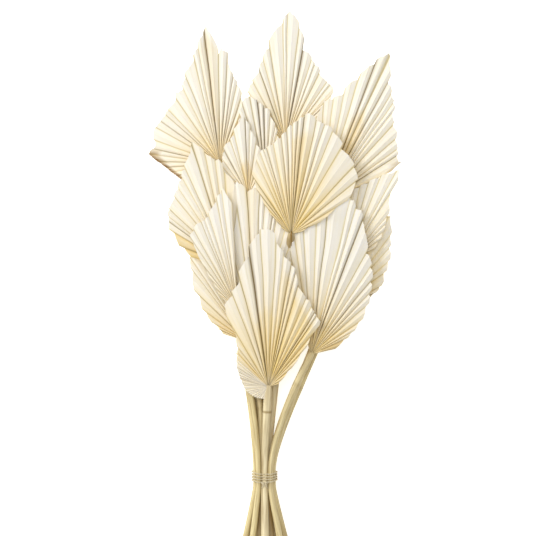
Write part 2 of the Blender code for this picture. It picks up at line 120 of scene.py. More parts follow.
LEAVES = (
    Leaf("palm_front_low", (4, 96, 31), 1, 0.06, 0.0, 4.0,
         ((-166, 13), (-150, 14), (-130, 17), (-110, 21), (-92, 25), (-78, 29), (-63, 36), (-46, 46),
          (-38, 52), (-31.5, 70), (-28.3, 97), (-25, 101), (-18, 112), (-11, 135), (-7, 154), (-3.7, 167),
          (0, 164), (3, 151), (6.4, 139), (9, 133), (12.3, 126), (14.7, 114), (21, 102), (29, 94),
          (37, 88), (40, 69), (49, 30), (60, 15), (74, 9)),
         (0, 3), (1, 35),
         ((-90, 8, 0.5), (-40, 4.4, 0.8), (-9, 5.6, 0.7), (6, 4.4, 0.8), (50, 4.0, 1.3), (74, 8, 0.5)),
         (1.15, 80),
         creases=((-8.9, 1.2), (-4, 0.5), (2, 0.5), (12, 0.6), (22, 0.5), (33, 0.5), (-22, 0.5)),
         patches=((6, 44, 0.1, 0.9, 0.45, 0.0), (-12, 8, 0.05, 0.5, 0.3, 0.0)),
         frays=((-60, 5), (-44, 4), (-100, 3)), curl=5, stout=1.25, node=0.8, flank=-48),
    Leaf("palm_front_right", (49, 130, 24.5), 14, 0.0, -0.1, 0.6,
         ((-34, 50), (-30, 84), (-27.5, 98), (-25.5, 110), (-23, 124), (-21, 140), (-17, 150), (-11, 151),
          (-5, 158), (0, 169),
          (8, 152), (13, 126), (21, 111), (27, 96), (35, 79), (42, 64), (49, 46), (63, 23)),
         (1, 3), (24, 31),
         ((-8, 4.8, 0.8), (10, 4.6, 1.0), (63, 5.4, 0.9)), (1.4, 54),
         creases=((-7.4, 0.7), (6.8, 0.9), (30, 0.4), (-18, 0.4), (-26, 0.5)),
         patches=((52, 63, 0.3, 1.0, 0.5, 0.4), (-34, -20, 0.1, 0.9, 0.3, 0.0)), lean=9),
    Leaf("palm_front_centre", (28, 256, 31), 8, -0.04, 0.0, 3.0,
         ((-70, 6), (-59, 15), (-48, 47), (-41, 73), (-35, 84), (-29, 92), (-18, 97), (-9, 111),
          (0, 128), (7, 122), (16, 116), (24, 104), (37, 96), (45, 87), (50, 70), (60, 22), (70, 6)),
         (0.5, 2), (9.5, 23),
         ((-30, 4.8, 0.8), (-7, 4.6, 0.9), (6, 4.0, 1.4), (22, 6, 0.9), (50, 7, 1.0), (70, 8, 0.6)),
         (1.3, 66),
         creases=((-4.8, 0.7), (-1.8, 0.9), (2.0, 0.8), (4.6, 0.6), (-14, 0.6), (-24, 0.4), (14, 0.4)),
         patches=((-7, 5, 0.05, 0.85, 0.45, 0.03), (-55, -8, 0.05, 0.6, 0.1, 0.0)),
         curl=4, dip=11, neck=0.7, tail=13, upright=0.1, stout=1.2),
    Leaf("palm_top_left", (-47, 331, 5.0), -6, 0.04, 0.0, 2.0,
         ((-112, 41), (-106.7, 44), (-99, 48), (-91.5, 54), (-84, 62.5), (-76.5, 76), (-69, 71),
          (-58, 79), (-45, 77), (-32, 81),
          (-22, 87), (-12, 107), (-6, 122), (-0.7, 142), (0, 145), (0.7, 142), (5, 115), (10, 118),
          (13, 98), (19, 85), (24, 75), (29, 63), (33.5, 50)),
         (-1.5, 0), (-27, 5),
         ((-76, 6, 0.4), (-20, 5.6, 0.75), (12, 5.2, 0.9), (33.5, 5.2, 0.7)), (1.0, 40),
         creases=((-0.9, 1.05), (10.3, 0.7), (-72, 0.6), (-42, 0.4), (-28, 0.3), (18, 0.4)),
         patches=((-114, -106, 0.2, 1.0, 0.4, 0.5), (-112, -75, 0.92, 1.0, 0.5, 1.0),
                  (-84, -73, 0.86, 1.0, 0.5, 0.6), (-4, 4, 0.3, 0.95, 0.35, 0.06),
                  # Painted shade along the right rim, under the leaves above.
                  (28, 34, 0.2, 1.0, 0.6, 0.22)),
         frays=((10.3, 8), (7, 5), (-26, 3)), curl=3, neck=0.7),
    Leaf("palm_top_centre", (22, 353, 5.2), 2, 0.05, 0.0, 2.0,
         ((-57, 26), (-45, 54), (-37, 67), (-22, 82), (-14, 98), (-8, 115), (0, 138), (7, 117),
          (10, 99), (17, 91), (28, 79), (39, 77), (45, 65), (60, 27)),
         (0.5, 0), (5, 4.5),
         ((-20, 5.2, 0.8), (15, 5.6, 0.9), (60, 5.2, 0.8)), (1.0, 42),
         creases=((8.7, 1.1), (-12, 0.5), (24, 0.4), (-3, 0.3)), curl=4),
    Leaf("palm_top_right", (60, 288, 8), 24, 0.04, 0.0, 2.0,
         ((-34, 50), (-24, 106), (-14, 116), (-10, 132), (-6, 147), (0, 174), (6, 144), (11, 133),
          (16, 118), (23, 107), (31, 98), (38, 92), (42, 71), (46, 36)),
         (1, 1), (13, 12),
         ((-4, 4.8, 0.8), (6, 3.8, 1.1), (46, 4.8, 0.8)), (1.0, 60),
         creases=((-2.9, 0.9), (0.5, 0.5), (4.9, 0.8), (18, 0.4), (30, 0.3)), upright=0.6,
         # The first patch is painted shade where the leaf in front lies over it.
         patches=((-5, 7, 0.15, 0.62, 0.5, 0.08), (36, 46, 0.9, 1.0, 0.2, 0.4)),
         frays=((38, 4), (42, 3)), curl=4),
    Leaf("palm_left_upper", (-36, 223, 22.5), -17, 0.0, 0.0, 2.0,
         ((-65, 29), (-58, 44), (-46, 65), (-41, 76), (-32, 86), (-19, 96), (-12, 106), (-5, 120),
          (0, 136), (8, 112), (11, 112), (13, 106), (19, 90), (24, 66)),
         (-1.5, 2), (-27, 20),
         ((-20, 5.2, 0.8), (24, 5.4, 0.8)), (0.7, 60),
         creases=((-30, 0.5), (-8, 0.4), (4, 0.4)),
         # The second patch is partly painted shade under the leaves in front.
         patches=((-65, -42, 0.45, 1.0, 0.8, 0.12), (0, 24, 0.1, 1.0, 0.2, 0.02)), curl=2),
    Leaf("palm_left_front", (-28, 178, 29), -7, 0.0, 0.0, 2.0,
         ((-51, 16), (-37, 35), (-31, 57), (-27, 92), (-17, 99), (-12, 100), (-6, 114), (0, 127),
          (4, 107)),
         (-1, 3), (-17, 31),
         ((-10, 5, 0.8), (4, 4.6, 0.7)), (0.8, 50), creases=((-16, 0.5), (-4, 0.4))),
    Leaf("palm_left_low", (-18, 143, 13.5), -34, 0.0, 0.0, 2.0,
         ((-38, 26), (-30, 34), (-22, 54), (-16, 65), (-10, 79), (-4, 96), (0, 108), (6, 100),
          (13, 90), (20, 60)),
         (-1, 1), (-18, 11), ((20, 4.8, 0.8),), (0.8, 60), creases=((4, 0.5), (-12, 0.5)),
         patches=((-38, -16, 0.2, 1.0, 0.3, 0.03),)),
    Leaf("palm_centre_upper", (-17, 297, 15.5), -4, 0.0, 0.0, 1.0,
         ((-50, 30), (-41, 40), (-32, 46), (-25, 55), (-12, 63), (-3, 77), (0, 86), (6, 70), (12, 56),
          (21, 46), (33, 30)),
         (-0.5, 0), (-10, 4.5), ((33, 8, 0.55),), (0.7, 30), creases=((1.5, 0.9), (-14, 0.3), (12, 0.5)),
         patches=((-12, 14, 0.0, 0.45, 0.4, 0.1),)),
    Leaf("palm_centre_back", (1, 311, 11), -10, 0.0, 0.0, 1.0,
         ((-30, 41), (-15, 67), (-8, 84), (-4, 91), (0, 92), (6, 84), (12, 76), (18, 64), (27, 49),
          (39, 32)),
         (0, 1), (0, 13), ((39, 5.6, 0.6),), (0.6, 40), creases=((4.2, 1.0), (8.9, 1.0), (14, 0.5))),
    Leaf("palm_centre_low", (-9, 150, 22), -7, 0.0, 0.05, 1.0,
         ((-16, 80), (-12, 104), (-8, 122), (-4, 140), (0, 163), (4, 150), (7, 157), (12, 154), (15, 148),
          (19, 134), (24, 116), (28.5, 104), (33.5, 84)),
         (-0.5, 2), (-8, 22), ((33.5, 4.4, 0.7),), (0.5, 60),
         creases=((3.5, 0.9), (11, 0.4), (17, 0.4)), patches=((2, 7, 0.3, 1.0, 0.4, 0.0),)),
    Leaf("palm_right_upper", (85, 225, 13), 30, 0.0, 0.0, 2.0,
         ((-48, 40), (-42, 53), (-26, 75), (-16, 87), (-8, 98), (0, 114), (6, 80), (14, 62),
          (33, 32)),
         (1.5, 2), (30, 19), ((33, 5, 0.8),), (0.8, 50), creases=((-14, 0.4),), upright=0.18),
    Leaf("palm_right_low", (71, 176, 4.8), 32, 0.0, 0.0, 1.0,
         ((-20, 36), (-14, 60), (-5, 88), (-3, 112), (0, 117), (9, 95), (16, 82), (24, 68), (34, 54),
          (40, 42), (52, 19)),
         (1.5, 0), (22, 4.5), ((52, 5.2, 0.8),), (0.8, 60), patches=((-20, 52, 0.0, 0.9, 0.2, 0.0),),
         upright=0.18),
)


def tie_origin():
    """Where the middle of the tie lies in the frame: between its sides, below its upper edge."""
    low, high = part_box("twine_tie")
    return Vector(((low.x + high.x) / 2, high.y - TIE_TOP * MM, low.z))


def linear(code):
    """An sRGB hex colour as linear red, green, blue and a full alpha."""
    parts = [int(code[place:place + 2], 16) / 255 for place in (0, 2, 4)]
    return [part / 12.92 if part <= 0.04045 else ((part + 0.055) / 1.055) ** 2.4 for part in parts] + [1.0]


def length(name, description, default_mm):
    """A length property with its default in mm."""
    return bpy.props.FloatProperty(
        name=name, description=description, default=default_mm * MM, min=0.0, precision=5,
        subtype="DISTANCE", unit="LENGTH",
    )


def colour(name, description, code):
    """A colour property with its default as an sRGB hex code."""
    return bpy.props.FloatVectorProperty(
        name=name, description=description, default=linear(code), size=4, min=0.0, max=1.0,
        subtype="COLOR",
    )


class PalmBladeSettings(bpy.types.PropertyGroup):
    """Sizes and colours of the pleated blades."""

    thickness: length("Thickness", "How thick the dry blade is", 0.45)
    depth: length("Pleat depth", "Ridge to valley where a pleat stands open", 1.9)
    rib: length("Rib", "How far the rib stands up along a ridge", 0.12)
    waviness: length("Waviness", "How far the dried pleats wander up and down", 0.5)
    steepness: bpy.props.FloatProperty(
        name="Steepness", description="Depth over width of a pleat that is nearly shut", default=1.0
    )
    rings: bpy.props.IntProperty(
        name="Rings", description="Rows of points from the hub to the rim", default=34, min=4
    )
    tooth: bpy.props.FloatProperty(
        name="Tooth", description="How much shorter the cut leaves a valley, as a share", default=0.01
    )
    fibres: bpy.props.IntProperty(name="Fibres", description="Loose fibres on a rim", default=18, min=0)
    cream: colour("Cream", "Bleached ridges", "F6F1E6")
    # Straw is also painted into the valleys as shade, besides its fibre streaks.
    straw: colour("Straw", "Valleys, where the bleach reached less", "EADBA8")
    # Honey also paints shade: more of it lies in the valleys, and in a few patches under other leaves.
    honey: colour("Honey", "Towards the hub", "EFCF7C")
    # Umber also paints shade in a few patches where other leaves lie over a leaf.
    umber: colour("Umber", "Stains and torn edges", "84602F")
    # Olive paints shade along the folds.
    fold_shade_olive: colour("Olive", "Creases", "5C4516")


class PalmStalkSettings(bpy.types.PropertyGroup):
    """Sizes and colours of the stalks."""

    hub_radius: length("Radius below the blade", "Radius a little below the blade", 4.1)
    tie_radius: length("Radius at the tie", "Radius where the twine presses the stalks", TIE_STALK)
    cut_radius: length("Radius at the cut", "Radius at the cut end", 4.1)
    below: length("Length below the tie", "From the tie to the cut ends", 100.0)
    sides: bpy.props.IntProperty(name="Sides", description="Points round a stalk", default=28, min=8)
    tan: colour("Tan", "Dried stalk", "E8D7A0")
    wheat: colour("Wheat", "The palest stalks", "F6E7BC")
    # Brown also paints shade on the stalks.
    brown: colour("Brown", "Streaks and nodes", "8E6E2C")
    pith: colour("Pith", "Cut end", "E9DDBE")


class PalmTwineSettings(bpy.types.PropertyGroup):
    """Sizes and colours of the twine."""

    radius: length("Radius", "Radius of the twisted twine", 0.78)
    gap: length("Gap", "Between the twine and the stalks", 0.12)
    lay: length("Lay", "Length of one full twist", 6.0)
    fuzz: bpy.props.IntProperty(name="Fuzz", description="Loose fibres", default=70, min=0)
    jute: colour("Jute", "Twisted fibre", "F0E5C6")
    # The shade colour is painted shade, laid in fine streaks along the fibres.
    shade: colour("Shade", "Between the strands", "9C8655")


class PalmStageSettings(bpy.types.PropertyGroup):
    """The table, the lights and the camera."""

    camera_height: bpy.props.FloatProperty(
        name="Camera height", description="Above the table", default=3.0, unit="LENGTH"
    )
    key: bpy.props.FloatProperty(name="Key light", description="Soft box, upper left", default=19.0)
    overhead: bpy.props.FloatProperty(name="Overhead light", description="Soft box above", default=17.5)
    sky: bpy.props.FloatProperty(name="Fill", description="Even light from all round", default=0.5)
    table: colour("Table", "White table", "F7F7F5")


def add_node(tree, kind, inputs=(), output=0, **settings):
    """Adds a node with its settings, gives its inputs values or links, and returns an output."""
    node = tree.nodes.new(kind)
    for name, value in settings.items():
        setattr(node, name, value)
    for place, value in dict(inputs).items():
        if isinstance(value, bpy.types.NodeSocket):
            tree.links.new(value, node.inputs[place])
        else:
            node.inputs[place].default_value = value
    return node.outputs[output]


def new_material(name):
    """A material with its node tree and its Principled shader."""
    material = bpy.data.materials.new(name)
    material.use_nodes = True
    tree = material.node_tree
    return material, tree, tree.nodes["Principled BSDF"]


def streaks(tree, uv, around, width, length, detail=2.0):
    """Streaks along the fibres, width by length in mm; around is what one unit of u spans in mm."""
    scale = (around / width, 1 / (length * MM), 1.0)
    stretched = add_node(tree, "ShaderNodeMapping", {"Vector": uv, "Scale": scale})
    return add_node(
        tree, "ShaderNodeTexNoise", {"Vector": stretched, "Scale": 1.0, "Detail": detail, "Roughness": 0.6}
    )


def bleached_palm_blade():
    """Dried, bleached palm leaf, hand pleated: matt and fibrous, cream where the bleach reached,
    with straw painted into the valleys as shade, honey towards the hub, and dark fold lines painted
    along the valleys as shade, darkest where the pleats are pressed shut at the hub."""
    colours = bpy.context.scene.palm_blades
    material, tree, shader = new_material("bleached palm leaf")
    uv = add_node(tree, "ShaderNodeUVMap", uv_map="pleats")
    pleat = 8.0  # mm across a pleat near the rim
    broad = streaks(tree, uv, pleat, 9.0, 80.0)
    coarse = streaks(tree, uv, pleat, 1.4, 45.0)
    fine = streaks(tree, uv, pleat, 0.6, 18.0, 3.0)

    # Cream facets with a straw line painted along each valley as shade
    across = add_node(tree, "ShaderNodeSeparateXYZ", {"Vector": uv})
    fold = add_node(tree, "ShaderNodeMath", {0: across, 1: 0.5}, operation="PINGPONG")
    valley_shade = add_node(tree, "ShaderNodeMapRange", {"Value": fold, "From Max": 0.11})
    body = {0: valley_shade, 6: colours.straw, 7: colours.cream}
    body = add_node(tree, "ShaderNodeMix", body, 2, data_type="RGBA")

    # Over it straw fibres, honey in patches, brown stains, and the dark fold lines painted along the
    # valleys as shade; honey and brown also carry some painted shade
    fibre = {"Value": coarse, "From Min": 0.45, "From Max": 0.75, "To Max": 0.32}
    fibre = add_node(tree, "ShaderNodeMapRange", fibre)
    gold = add_node(tree, "ShaderNodeAttribute", output="Fac", attribute_name="gold")
    patchy = {"Value": broad, "From Min": 0.3, "From Max": 0.65, "To Min": 0.6}
    patchy = add_node(tree, "ShaderNodeMapRange", patchy)
    gold = add_node(tree, "ShaderNodeMath", {0: gold, 1: patchy}, operation="MULTIPLY", use_clamp=True)
    brown = add_node(tree, "ShaderNodeAttribute", output="Fac", attribute_name="brown")
    worn = {"Value": coarse, "From Min": 0.3, "From Max": 0.6, "To Min": 0.5}
    worn = add_node(tree, "ShaderNodeMapRange", worn)
    brown = add_node(tree, "ShaderNodeMath", {0: brown, 1: worn}, operation="MULTIPLY", use_clamp=True)
    # This attribute is painted shade along the folds, darkest at the hub.
    crease = add_node(tree, "ShaderNodeAttribute", output="Fac", attribute_name="crease")
    layers = (
        (fibre, colours.straw), (gold, colours.honey), (brown, colours.umber), (crease, colours.fold_shade_olive),
    )
    for amount, tone in layers:
        body = {0: amount, 6: body, 7: tone}
        body = add_node(tree, "ShaderNodeMix", body, 2, data_type="RGBA")
    tree.links.new(body, shader.inputs["Base Color"])

    shader.inputs["Roughness"].default_value = 0.62
    shader.inputs["IOR"].default_value = 1.45
    shader.inputs["Subsurface Weight"].default_value = 0.12
    shader.inputs["Subsurface Radius"].default_value = (1.0, 0.9, 0.6)
    shader.inputs["Subsurface Scale"].default_value = 1.5 * MM
    relief = add_node(tree, "ShaderNodeMath", {0: coarse, 1: 0.6, 2: fine}, operation="MULTIPLY_ADD")
    bump = add_node(tree, "ShaderNodeBump", {"Strength": 0.35, "Distance": 0.3 * MM, "Height": relief})
    tree.links.new(bump, shader.inputs["Normal"])
    return material


def dried_palm_stalk():
    """Air dried palm petiole: a hard tan rind with a dull shine, long fibres and a dark node, and brown
    painted shade below the blade and round the tie.
    """
    colours = bpy.context.scene.palm_stalks
    material, tree, shader = new_material("dried palm petiole")
    uv = add_node(tree, "ShaderNodeUVMap", uv_map="rind")
    girth = 22.0  # mm round a stalk
    broad = streaks(tree, uv, girth, 6.0, 70.0)
    fine = streaks(tree, uv, girth, 0.9, 34.0, 3.0)
    pale = add_node(tree, "ShaderNodeAttribute", output="Fac", attribute_name="pale")
    body = {0: pale, 6: colours.tan, 7: colours.wheat}
    body = add_node(tree, "ShaderNodeMix", body, 2, data_type="RGBA")
    blotch = {"Value": broad, "From Min": 0.4, "From Max": 0.8, "To Max": 0.8}
    blotch = add_node(tree, "ShaderNodeMapRange", blotch)
    fibre = {"Value": fine, "From Min": 0.45, "From Max": 0.75, "To Max": 0.6}
    fibre = add_node(tree, "ShaderNodeMapRange", fibre)
    # This attribute holds the dark node rings and painted shade.
    stain = add_node(tree, "ShaderNodeAttribute", output="Fac", attribute_name="stain")
    for amount in (blotch, fibre, stain):
        body = {0: amount, 6: body, 7: colours.brown}
        body = add_node(tree, "ShaderNodeMix", body, 2, data_type="RGBA")
    tree.links.new(body, shader.inputs["Base Color"])
    shader.inputs["Roughness"].default_value = 0.48
    shader.inputs["IOR"].default_value = 1.5
    bump = add_node(tree, "ShaderNodeBump", {"Strength": 0.4, "Distance": 0.3 * MM, "Height": fine})
    tree.links.new(bump, shader.inputs["Normal"])
    return material


def petiole_pith():
    """Sawn end of a petiole: soft, pale and pitted by its fibre bundles."""
    colours = bpy.context.scene.palm_stalks
    material, tree, shader = new_material("petiole pith")
    place = add_node(tree, "ShaderNodeTexCoord", output="Object")
    bundle = 0.9 * MM
    spots = add_node(tree, "ShaderNodeTexVoronoi", {"Vector": place, "Scale": 1 / bundle})
    pit = add_node(tree, "ShaderNodeMapRange", {"Value": spots, "From Min": 0.35, "From Max": 0.1})
    body = {0: pit, 6: colours.pith, 7: colours.brown}
    body = add_node(tree, "ShaderNodeMix", body, 2, data_type="RGBA")
    tree.links.new(body, shader.inputs["Base Color"])
    shader.inputs["Roughness"].default_value = 0.9
    bump = add_node(tree, "ShaderNodeBump", {"Strength": 0.6, "Distance": 0.4 * MM, "Height": spots})
    tree.links.new(bump, shader.inputs["Normal"])
    return material


def loose_fibre():
    """Torn fibres of the dried leaf: thin, dull and straw coloured, brown where the leaf is stained."""
    colours = bpy.context.scene.palm_blades
    material, tree, shader = new_material("loose palm fibre")
    uv = add_node(tree, "ShaderNodeUVMap", uv_map="rind")
    tone = streaks(tree, uv, 1.0, 0.5, 6.0)
    body = {0: tone, 6: colours.cream, 7: colours.straw}
    body = add_node(tree, "ShaderNodeMix", body, 2, data_type="RGBA")
    brown = add_node(tree, "ShaderNodeAttribute", output="Fac", attribute_name="brown")
    body = {0: brown, 6: body, 7: colours.umber}
    body = add_node(tree, "ShaderNodeMix", body, 2, data_type="RGBA")
    tree.links.new(body, shader.inputs["Base Color"])
    shader.inputs["Roughness"].default_value = 0.8
    return material


def jute_twine():
    """Two-ply spun jute: dull, hairy bast fibre, with fine streaks of painted shade along its fibres."""
    colours = bpy.context.scene.palm_twine
    material, tree, shader = new_material("jute twine")
    uv = add_node(tree, "ShaderNodeUVMap", uv_map="rind")
    girth = 3.1  # mm, about the way round one ply
    fine = streaks(tree, uv, girth, 0.35, 7.0, 3.0)
    strand = {"Value": fine, "From Min": 0.35, "From Max": 0.7, "To Max": 0.8}
    strand = add_node(tree, "ShaderNodeMapRange", strand)
    body = {0: strand, 6: colours.jute, 7: colours.shade}
    body = add_node(tree, "ShaderNodeMix", body, 2, data_type="RGBA")
    tree.links.new(body, shader.inputs["Base Color"])
    shader.inputs["Roughness"].default_value = 0.9
    bump = add_node(tree, "ShaderNodeBump", {"Strength": 0.7, "Distance": 0.2 * MM, "Height": fine})
    tree.links.new(bump, shader.inputs["Normal"])
    return material


def white_table():
    """Backlit white acrylic sheet, as under a product photograph: even, with hardly a shadow."""
    colours = bpy.context.scene.palm_stage
    material, _, shader = new_material("white acrylic table")
    shader.inputs["Base Color"].default_value = colours.table
    shader.inputs["Roughness"].default_value = 0.7
    shader.inputs["Emission Color"].default_value = (1.0, 1.0, 1.0, 1.0)
    shader.inputs["Emission Strength"].default_value = 0.6
    return material


def add_piece(name, bm, materials, node):
    """Makes the finished mesh a piece that rides on the bunch and stands for its CAD node."""
    mesh = bpy.data.meshes.new(name)
    bm.to_mesh(mesh)
    bm.free()
    mesh.transform(Matrix.Translation(tie_origin()) @ Matrix.Scale(MM, 4))
    for material in materials:
        mesh.materials.append(material)
    piece = bpy.data.objects.new(name, mesh)
    bpy.context.scene.collection.objects.link(piece)
    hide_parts(node)
    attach(piece, "root")
    return piece


@dataclass
class Column:
    """One line of points of a blade, from the hub to the rim."""

    degrees: float  # from the leaf's heading
    ridge: float  # 0 in a valley, 1 on a ridge
    depth: float  # share of the full pleat depth
    width: float  # radians from valley to ridge
    number: float  # pleats counted from the left
    middle: float  # degrees of its own ridge
    crease: float  # how dark the painted shade along its fold is
    reach: float = 0.0  # length from the hub to the rim


# The blades: mm, degrees and shares
FACET = (0.0, 0.13, 0.5, 0.87)  # where columns stand between a valley and its ridge
PLEAT_SIZES = (0.62, 0.85, 1.0, 1.0, 1.25, 1.6)  # widths of pleats, as shares of the leaf's usual one
FOLD_SHADE_WIDTH = 0.42  # of a fold line of painted shade
SOFT_EDGE = 3.0  # degrees over which a patch fades at its sides
SOFT_SHARE = 0.07  # share of the length over which it fades at its ends
HUB_GAP = 2.0  # the pleats start this far from the hub
HUB_CROWDING = 1.25  # above 1, rows stand closer together at the hub
CUP_REACH = 50.0  # a leaf's cup is its droop this far from its axis
CURL_START = 60.0  # a curled tip lifts from here on
STRAY = 0.7  # degrees by which a pleat wanders at the rim
RIM_OPENING = 0.25  # how much shallower the pleats are at the rim
RIM_STEP = 0.35  # how far a column is cut as its ridge is
RIM_JITTER = 0.016  # how unevenly the pleats are cut
COLUMN_JITTER = 0.003  # how unevenly the columns are
POINT_DEGREES = 1.5  # this close to its heading a leaf is cut straight
GOLD_FALL = 1.7  # how suddenly the gold round the hub ends
FOLD_SHADE_REACH = 55.0  # how far from the hub the painted shade of the fold lines stays dark
PALE_FLANK = 0.35  # what is left of gold and painted fold shade on a pale flank

# The stalks, in mm
NECK_ROW = 11  # the row of points just below the hub
NECK_RADIUS = 3.5
RUN_OUT_RADIUS = 0.6  # where it ends under the blade
RUN_OUT = 14.0  # how far from the hub that is
RUN_OUT_SINK = 1.6  # how far its axis lies under the blade there
HUB_SINK = 2.7  # and at the hub


def valley_angles(leaf, draw):
    """Degrees, depth and darkness of the painted shade of each valley, with the nearest one moved onto each
    fold pressed shut.
    """
    valleys = [(leaf.outline[0][0], leaf.pleats[0][2])]
    last = leaf.outline[-1][0]
    for limit, pitch, depth in leaf.pleats:
        while valleys[-1][0] + pitch * 0.6 < limit:
            size = draw.choice(PLEAT_SIZES)
            step = min(pitch * size * draw.uniform(0.85, 1.15), last - valleys[-1][0])
            valleys.append((valleys[-1][0] + step, depth * draw.uniform(0.7, 1.2) / size ** 0.5))
    valleys[-1] = (last, valleys[-1][1])
    dark = [draw.uniform(0.0, 0.85) ** 1.4 for _ in valleys]
    for degrees, darkness in leaf.creases:
        nearest = min(range(1, len(valleys) - 1), key=lambda place: abs(valleys[place][0] - degrees))
        valleys[nearest] = (degrees, max(1.0, valleys[nearest][1]))
        dark[nearest] = darkness
    return [(degrees, depth, shade) for (degrees, depth), shade in sorted(zip(valleys, dark))]


def blade_columns(leaf):
    """Columns across the pleats: down each side of every ridge, closer together at the folds."""
    draw = random.Random(leaf.name)
    valleys = valley_angles(leaf, draw)
    columns = []
    for number, (left, right) in enumerate(zip(valleys, valleys[1:])):
        ridge = left[0] + (right[0] - left[0]) * draw.uniform(0.38, 0.62)
        depth = (left[1] + right[1]) / 2
        half = math.radians(ridge - left[0])
        for step in FACET:
            degrees = left[0] + (ridge - left[0]) * step
            columns.append(Column(degrees, step, depth, half, number + step / 2, ridge, left[2]))
        half = math.radians(right[0] - ridge)
        for step in reversed(FACET[1:] + (1.0,)):
            degrees = right[0] + (ridge - right[0]) * step
            columns.append(Column(degrees, step, depth, half, number + 1 - step / 2, ridge, right[2]))
    columns.append(Column(valleys[-1][0], 0.0, depth, half, len(valleys) - 1.0, ridge, 0.0))
    nearest = min(columns, key=lambda column: abs(column.degrees))
    nearest.degrees = 0.0
    cut_rim(leaf, columns, draw)
    return columns


def outline_length(outline, degrees):
    """The blade's length along a line from the hub, read between the outline's points."""
    for (left, near), (right, far) in zip(outline, outline[1:]):
        if degrees <= right:
            step = (degrees - left) / (right - left)
            return near + (far - near) * step
    return outline[-1][1]


def cut_rim(leaf, columns, draw):
    """Cuts every column to the trimmed outline: a small step at each pleat, and torn strands."""
    tooth = bpy.context.scene.palm_blades.tooth
    jitter = [draw.uniform(-RIM_JITTER, RIM_JITTER) for _ in columns]
    for column in columns:
        stepped = column.degrees + RIM_STEP * (column.middle - column.degrees)
        cut = 1 + tooth * (column.ridge - 0.7) + jitter[int(column.number)] * column.ridge
        cut += draw.uniform(-COLUMN_JITTER, COLUMN_JITTER)
        if abs(column.degrees) < POINT_DEGREES or patch_at(leaf, column.degrees, 1.0)[1] > 0.6:
            stepped, cut = column.degrees, 1.0
        column.reach = outline_length(leaf.outline, stepped) * cut
    for degrees, strand in leaf.frays:
        nearest = min(columns, key=lambda column: abs(column.degrees - degrees))
        nearest.reach += strand


def blade_height(leaf, along, across):
    """How high the unpleated blade lies at a place along and across its heading."""
    return leaf.hub[2] + leaf.rise * along + leaf.roll * across - leaf.cup * (across / CUP_REACH) ** 2


def place_on_leaf(leaf, along, across, height):
    """A place along and across a leaf's heading, in the bunch."""
    turn = math.radians(leaf.heading)
    x = leaf.hub[0] + along * math.sin(turn) + across * math.cos(turn)
    y = leaf.hub[1] + along * math.cos(turn) - across * math.sin(turn)
    return Vector((x, y, height))


def blade_point(leaf, column, radius):
    """Where the pleated blade lies on a column, this far from the hub."""
    settings = bpy.context.scene.palm_blades
    out = radius / column.reach
    wander = noise.noise(Vector((column.number * 0.8, radius / 45, leaf.hub[0])))
    degrees = column.degrees + STRAY * wander * out if column.degrees else 0.0
    along = radius * math.cos(math.radians(degrees))
    across = radius * math.sin(math.radians(degrees))
    open_depth = settings.depth / MM * column.depth * (1 - RIM_OPENING * out ** 2)
    shut_depth = settings.steepness * radius * column.width
    depth = open_depth * shut_depth / (open_depth ** 3 + shut_depth ** 3) ** (1 / 3)
    height = blade_height(leaf, along, across) + depth * (column.ridge - 0.5)
    if column.ridge == 1:
        height += settings.rib / MM * min(1.0, radius / 20)
    ripple = noise.noise(Vector((column.number * 0.45, radius / 38, leaf.hub[1])))
    height += settings.waviness / MM * ripple * min(1.0, radius / 30)
    longest = max(far for _, far in leaf.outline)
    height += leaf.curl * max(0.0, (radius - CURL_START) / (longest - CURL_START)) ** 2
    return place_on_leaf(leaf, along, across, max(height, settings.thickness / MM))


def patch_at(leaf, degrees, out):
    """How golden and how brown the leaf's patches are at a place, fading at their edges."""
    gold, brown = 0.0, 0.0
    for left, right, near, far, golden, dark in leaf.patches:
        inside = min((degrees - left) / SOFT_EDGE, (right - degrees) / SOFT_EDGE, (out - near) / SOFT_SHARE)
        inside = min(inside, (far - out) / SOFT_SHARE) if far < 1 else inside
        strength = min(1.0, max(0.0, inside + 0.4))
        gold, brown = max(gold, golden * strength), max(brown, dark * strength)
    return gold, brown


